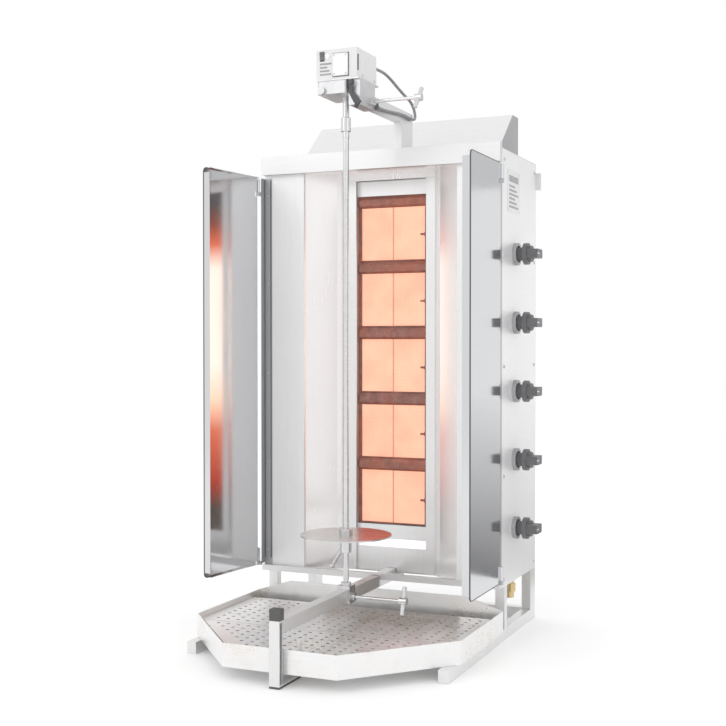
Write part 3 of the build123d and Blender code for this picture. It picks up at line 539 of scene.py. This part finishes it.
def cover_screws():
    """Screws in the corners of the cover plate."""
    inset = 4 * MM
    mesh_edit = bmesh.new()
    for x in (COVER_LOW[0] + inset, COVER_HIGH[0] - inset):
        for z in (COVER_LOW[2] + inset, COVER_HIGH[2] - inset):
            add_screw(mesh_edit, (x, COVER_LOW[1], z), (0, -1, 0), 1.8 * MM)
    piece("cover_plate_screws", mesh_edit, "screw_steel", "motor_carriage")


def cover_gasket():
    """Rubber lip round the cover plate."""
    thick, outside = 1.2 * MM, 1.6 * MM
    x0, z0 = COVER_LOW[0] - outside, COVER_LOW[2] - outside
    x1, z1 = COVER_HIGH[0] + outside, COVER_HIGH[2] + outside
    front, back = BOX_LOW[1] - 0.8 * MM, BOX_LOW[1] + 0.2 * MM
    sides = (((x0, z0), (x1, z0 + thick)), ((x0, z1 - thick), (x1, z1)),
             ((x0, z0), (x0 + thick, z1)), ((x1 - thick, z0), (x1, z1)))
    mesh_edit = bmesh.new()
    for low, high in sides:
        add_bar(mesh_edit, (low[0], front, low[1]), (high[0], back, high[1]), 0.2 * MM)
    piece("cover_plate_gasket", mesh_edit, "black_rubber", "motor_carriage")


def motor_fittings():
    """Printed labels on the motor cover's front and screws low on its right side."""
    skin = 0.3 * MM
    bars("motor_labels", (-0.038, BOX_LOW[1] - skin, 1.2095), (-0.0115, BOX_LOW[1] + skin, 1.2350),
         4, "y", "motor_carriage")
    cover_screws()
    cover_gasket()
    z = BOX_LOW[2] + 8 * MM
    spots = [(BOX_HIGH[0], y, z) for y in (BOX_LOW[1] + 30 * MM, BOX_HIGH[1] - 12 * MM)]
    screws("motor_side_screws", spots, (1, 0, 0), "motor_carriage", 2.4 * MM)


motor_fittings()


def window_rims():
    """Rolled rim at both sides of every burner window and below it."""
    half, width, soft = 81.5 * MM, 3 * MM, 0.6 * MM
    for i in range(1, 6):
        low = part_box(f"burner_{i}")[0]
        front, back = low[1] + 4.1 * MM, low[1] + 6 * MM
        z0, z1 = low[2] + 3 * MM, low[2] + 124 * MM
        mesh_edit = bmesh.new()
        for x in (-half, half - width):
            add_bar(mesh_edit, (x, front, z0), (x + width, back, z1), soft)
        add_bar(mesh_edit, (-half, front, z0 - 2.2 * MM), (half, back, z0 + 0.4 * MM), soft)
        piece(f"window_rim_{i}", mesh_edit, "burner_steel", "casing")


window_rims()


def plaque_joints():
    """Cement joint between the two plaques of every burner."""
    half = 1.6 * MM
    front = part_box("ceramic_tiles")[0][1]
    for i in range(1, 6):
        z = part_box(f"burner_{i}")[0][2]
        mesh_edit = bmesh.new()
        add_bar(mesh_edit, (-half, front - 0.4 * MM, z + 2 * MM), (half, front + 0.6 * MM, z + 127 * MM),
                0.3 * MM)
        piece(f"plaque_joint_{i}", mesh_edit, "cement", "casing")


plaque_joints()

# ================================ door edges =================================================
HINGE_X, HINGE_Y = 296 * MM, -6 * MM
SHEET_X = 294.25 * MM
LEFT_SPLAY = radians(-6.5)
DOOR_LOW, DOOR_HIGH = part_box("door_right")
DOOR_MIDDLE = (-110 * MM, 585 * MM)
EDGE_START_Y = -20 * MM
CORNER_RADIUS = 11 * MM
# Section of the dark edge strip: millimetres across the sheet and outwards from its edge.
EDGE_SECTION = ((-1.35, -1.2), (-1.35, 0.2), (-0.9, 0.6), (0.9, 0.6), (1.35, 0.2), (1.35, -1.2))


def edge_outline():
    """Outline of a door sheet, hinge side first, in (y, z), with rounded free corners."""
    middle_y = DOOR_LOW[1] + CORNER_RADIUS
    points = [(EDGE_START_Y, DOOR_LOW[2])]
    for middle_z, start in ((DOOR_LOW[2] + CORNER_RADIUS, 270), (DOOR_HIGH[2] - CORNER_RADIUS, 180)):
        for k in range(7):
            angle = radians(start - 15 * k)
            points.append((middle_y + CORNER_RADIUS * cos(angle), middle_z + CORNER_RADIUS * sin(angle)))
    return points + [(EDGE_START_Y, DOOR_HIGH[2])]


def outward_at(outline, k):
    """Direction in the sheet's plane that points away from the door at one outline point."""
    before, after = outline[max(k - 1, 0)], outline[min(k + 1, len(outline) - 1)]
    along = Vector((0, after[0] - before[0], after[1] - before[1])).normalized()
    outward = Vector((0, -along.z, along.y))
    y, z = outline[k]
    if outward.dot(Vector((0, y - DOOR_MIDDLE[0], z - DOOR_MIDDLE[1]))) < 0:
        outward = -outward
    return outward


def door_edge(side, name, body):
    """Dark strip round a door's free edge, top and bottom: painted shade along the edge, not a real edging.
    """
    outline = edge_outline()
    mesh_edit = bmesh.new()
    rings = []
    for k, (y, z) in enumerate(outline):
        middle = Vector((side * SHEET_X, y, z))
        outward = outward_at(outline, k)
        ring = []
        for across, out in EDGE_SECTION:
            ring.append(mesh_edit.verts.new(middle + Vector((across * MM, 0, 0)) + outward * out * MM))
        rings.append(ring)
    count = len(EDGE_SECTION)
    for low, high in zip(rings, rings[1:]):
        for k in range(count):
            j = (k + 1) % count
            mesh_edit.faces.new((low[k], low[j], high[j], high[k]))
    mesh_edit.faces.new(rings[0])
    mesh_edit.faces.new(rings[-1])
    if side < 0:
        pivot = Vector((-HINGE_X, HINGE_Y, 0))
        turn = Matrix.Rotation(LEFT_SPLAY, 3, "Z")
        bmesh.ops.rotate(mesh_edit, cent=pivot, matrix=turn, verts=mesh_edit.verts)
    piece(name, mesh_edit, "edge_shade", body, 30.0)


door_edge(1, "door_edge_right", "right_door")
door_edge(-1, "door_edge_left", "left_door")


def hinge_dark_strips():
    """Black strip along the outer and inner edge of each hinge angle: the one next to the door is painted
    shade of the gap between door and angle, the other a plain black line.
    """
    half = 0.9 * MM
    front, back = HINGE_HIGH[1] - 3.0 * MM, HINGE_HIGH[1] - 1.0 * MM
    foot, head = HINGE_LOW[2] + 30 * MM, HINGE_HIGH[2] - 4 * MM
    for side, word in SIDES:
        mesh_edit = bmesh.new()
        # The strip at side * 0.2885 lies next to the door and is painted gap shade.
        for x in (side * 0.2725, side * 0.2885):
            add_bar(mesh_edit, (x - half, front, foot), (x + half, back, head), 0.5 * MM)
        piece(f"hinge_dark_strip_{word}", mesh_edit, "black_rubber", "casing")


hinge_dark_strips()

# Half section of one weld ripple: radius and height in millimetres.
RIPPLE = ((0, -1.0), (1.9, -0.6), (2.1, 0.1), (1.3, 0.9), (0, 1.2))
RIPPLE_PITCH = 2.4 * MM


def welds(name, runs, body):
    """Small rippled weld beads: each run is (start, end)."""
    profile = [(radius * MM, height * MM) for radius, height in RIPPLE]
    mesh_edit = bmesh.new()
    for start, end in runs:
        start, end = Vector(start), Vector(end)
        count = max(3, int((end - start).length / RIPPLE_PITCH))
        for k in range(count):
            spot = start.lerp(end, (k + 0.5) / count)
            add_lathe(mesh_edit, profile, spot, end - start, 8)
    piece(name, mesh_edit, "screw_steel", body, 60.0)


def frame_welds():
    """Beads where the legs stand on the rails and where the rear cross tube meets them."""
    low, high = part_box("base_frame")
    top = low[2] + 25 * MM
    tube_y = high[1] - 25 * MM
    runs = []
    for side, _ in SIDES:
        inner, outer = side * 0.269, side * 0.290
        for y in (0.038, 0.058, high[1] - 40 * MM):
            runs.append(((inner, y, top), (outer, y, top)))
        runs.append(((inner, tube_y, 0.003), (inner, tube_y, 0.022)))
    welds("frame_welds", runs, "casing")


frame_welds()


# ================================ studio =====================================================
FLOOR_Z = -0.0005
FLOOR_HALF = 9.0
BLACK = (0.0, 0.0, 0.0)


def floor_paper():
    """White paper that glows a little, so that it stays pale away from the lights."""
    color = (0.93, 0.93, 0.93)
    s = Surface("floor", color, 0.8, specular=0.1)
    s.paint(s.mix(s.spread(s.noise(1.5, 3.0, 0.5), 0.0, 1.0), color, tint(color, 0.985)))
    s.set("Emission Color", (1.0, 1.0, 1.0, 1.0))
    s.set("Emission Strength", 0.09)
    return s.material


def stage_sheet(name, corners, material):
    """Flat four-cornered sheet of the studio, not part of the object."""
    mesh_edit = bmesh.new()
    mesh_edit.faces.new([mesh_edit.verts.new(corner) for corner in corners])
    mesh = bpy.data.meshes.new(name)
    mesh_edit.to_mesh(mesh)
    mesh_edit.free()
    mesh.materials.append(material)
    sheet = bpy.data.objects.new(name, mesh)
    bpy.context.scene.collection.objects.link(sheet)
    return sheet


def make_floor():
    corners = [(x * FLOOR_HALF, y * FLOOR_HALF, FLOOR_Z) for x, y in ((-1, -1), (1, -1), (1, 1), (-1, 1))]
    stage_sheet("floor", corners, floor_paper())


def softbox(name, at, towards, size, power, color=(1.0, 1.0, 1.0)):
    data = bpy.data.lights.new(name, "AREA")
    data.shape = "RECTANGLE"
    data.size, data.size_y = size
    data.energy = power
    data.color = color
    light = bpy.data.objects.new(name, data)
    light.location = at
    light.rotation_euler = (Vector(towards) - Vector(at)).to_track_quat("-Z", "Y").to_euler()
    bpy.context.scene.collection.objects.link(light)
    return light


def make_world():
    world = bpy.data.worlds.new("studio")
    world.use_nodes = True
    sky = world.node_tree.nodes["Background"]
    sky.inputs["Color"].default_value = (1.0, 1.0, 1.0, 1.0)
    sky.inputs["Strength"].default_value = 1.0
    bpy.context.scene.world = world


make_floor()
make_world()
softbox("key", (-1.6, -3.0, 2.6), (0, 0, 0.6), (1.8, 1.8), 16.0)
softbox("fill", (2.8, -1.2, 1.6), (0, 0, 0.6), (1.4, 1.8), 4.0)
softbox("back", (0.5, 2.8, 2.4), (0, 0, 0.7), (2.0, 1.2), 8.0)


# ================================ what the polished steel mirrors ============================
def mirror_card(name, corners, cloth):
    """Glowing card that only reflections see."""
    card = stage_sheet(name, corners, cloth)
    card.visible_camera = False
    card.visible_diffuse = False
    card.visible_shadow = False


def upright(x0, x1, y, z0, z1):
    """Corners of an upright sheet that faces the front."""
    return (x0, y, z0), (x1, y, z0), (x1, y, z1), (x0, y, z1)


def one_sided(s):
    """Clear from behind, so that the sheet behind a card doesn't mirror it."""
    clear = s.add("ShaderNodeBsdfTransparent")
    choice = s.add("ShaderNodeMixShader")
    s.link(s.add("ShaderNodeNewGeometry").outputs["Backfacing"], choice.inputs["Fac"])
    s.link(s.shader.outputs["BSDF"], choice.inputs[1])
    s.link(clear.outputs["BSDF"], choice.inputs[2])
    s.link(choice.outputs["Shader"], s.tree.nodes["Material Output"].inputs["Surface"])
    return s.material


def card_cloth(name, low_color, high_color, bottom, top):
    """Cloth that turns from one glow at its bottom edge to another at its top edge."""
    s = Surface(name, BLACK, 1.0, specular=0.0)
    parts = s.add("ShaderNodeSeparateXYZ")
    s.link(s.place, parts.inputs["Vector"])
    weave = s.spread(s.noise(4.0, 2.0, 0.5), 0.95, 1.0)
    height = s.spread(parts.outputs["Z"], 0.0, 1.0, bottom, top)
    s.link(s.mix(height, low_color, high_color), s.shader.inputs["Emission Color"])
    s.link(weave, s.shader.inputs["Emission Strength"])
    return s.material


def shade_cloth(name, tone):
    """Plain dark cloth seen from the front only."""
    s = Surface(name, BLACK, 1.0, specular=0.0)
    weave = s.spread(s.noise(4.0, 2.0, 0.5), 0.0, 1.0)
    s.link(s.mix(weave, tint(tone, 0.9), tone), s.shader.inputs["Emission Color"])
    s.set("Emission Strength", 1.0)
    return one_sided(s)


# Height above the floor and colour of the glow that the doors and reflectors mirror.
GLOW_STEPS = (
    (0.130, (0.08, 0.07, 0.065)), (0.235, (0.08, 0.06, 0.05)), (0.300, (0.34, 0.04, 0.02)),
    (0.430, (0.62, 0.14, 0.07)), (0.510, (1.00, 0.62, 0.44)), (0.600, (1.00, 0.80, 0.68)),
    (0.840, (1.00, 0.78, 0.66)), (0.900, (0.62, 0.13, 0.06)), (0.950, (0.22, 0.06, 0.04)),
    (1.000, (0.08, 0.07, 0.07)), (1.030, (0.08, 0.07, 0.07)),
)
GLOW_BOTTOM, GLOW_TOP = GLOW_STEPS[0][0], GLOW_STEPS[-1][0]
GLOW_STRENGTH = 1.9
GLOW_HALF = 82 * MM
GLOW_FADE = 4 * MM
BESIDE_GLOW = (0.05, 0.045, 0.045)


def glow_cloth():
    """Glow graded by height, dark beside the plaques."""
    s = Surface("burner glow cloth", BLACK, 1.0, specular=0.0)
    parts = s.add("ShaderNodeSeparateXYZ")
    s.link(s.place, parts.inputs["Vector"])
    ramp = s.add("ShaderNodeValToRGB")
    s.link(s.spread(parts.outputs["Z"], 0.0, 1.0, GLOW_BOTTOM, GLOW_TOP), ramp.inputs["Fac"])
    stops = ramp.color_ramp.elements
    while len(stops) < len(GLOW_STEPS):
        stops.new(0.5)
    for stop, (height, _) in zip(stops, GLOW_STEPS):
        stop.position = (height - GLOW_BOTTOM) / (GLOW_TOP - GLOW_BOTTOM)
    for stop, (_, color) in zip(stops, GLOW_STEPS):
        stop.color = (*color, 1.0)
    off_middle = s.math("ABSOLUTE", parts.outputs["X"], 0.0)
    beside = s.spread(off_middle, 0.0, 1.0, GLOW_HALF, GLOW_HALF + GLOW_FADE)
    s.link(s.mix(beside, ramp.outputs["Color"], BESIDE_GLOW), s.shader.inputs["Emission Color"])
    s.set("Emission Strength", GLOW_STRENGTH)
    return one_sided(s)


def door_shades():
    """Cards behind the oven, to its right, that shade the foot and the head of the right-hand door."""
    near, far, bottom, top = (0.36, 0.62), (1.6, 1.1), 0.004, 0.50
    low_tone, white = (0.27, 0.27, 0.28), (1.0, 1.0, 1.0)
    low = ((*near, bottom), (*far, bottom), (*far, top), (*near, top))
    mirror_card("low_card", low, card_cloth("low card cloth", low_tone, white, bottom, top))
    high_tone = (0.74, 0.74, 0.75)
    mirror_card("high_card", upright(0.40, 3.0, 2.0, 1.25, 3.0),
                card_cloth("high card cloth", high_tone, high_tone, 1.25, 3.0))


def mouth_shades():
    """Dark bands over and under the mouth, and the glow of the burners between them."""
    card_gap = 3 * MM
    front = CASING_LOW[1] - card_gap
    for name, z0, z1, tone in (("shade_top", 1.010, 1.125, (0.15, 0.145, 0.14)),
                               ("shade_foot", 0.062, 0.130, (0.20, 0.18, 0.16))):
        mirror_card(name, upright(-0.13, 0.20, front, z0, z1), shade_cloth(name + " cloth", tone))
    burner_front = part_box("burner_1")[0][1] - card_gap
    mirror_card("burner_glow", upright(-0.12, 0.12, burner_front, GLOW_BOTTOM, GLOW_TOP), glow_cloth())


def burner_heat():
    """Radiant glow of the burners: a soft panel in front of each that lights the mouth and the tray."""
    heat_color = (1.0, 0.42, 0.26)
    for i, power in enumerate((0.04, 0.06, 0.10, 0.10, 0.06), 1):
        low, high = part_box(f"burner_{i}")
        y, middle = low[1] - 2 * MM, (low[2] + high[2]) / 2
        size = (158 * MM, high[2] - low[2])
        light = softbox(f"burner_heat_{i}", (0.0, y, middle), (0.0, -1.0, middle), size, power, heat_color)
        light.visible_camera = False
        light.visible_glossy = False


door_shades()
mouth_shades()
burner_heat()
bpy.context.scene.view_settings.view_transform = "Standard"
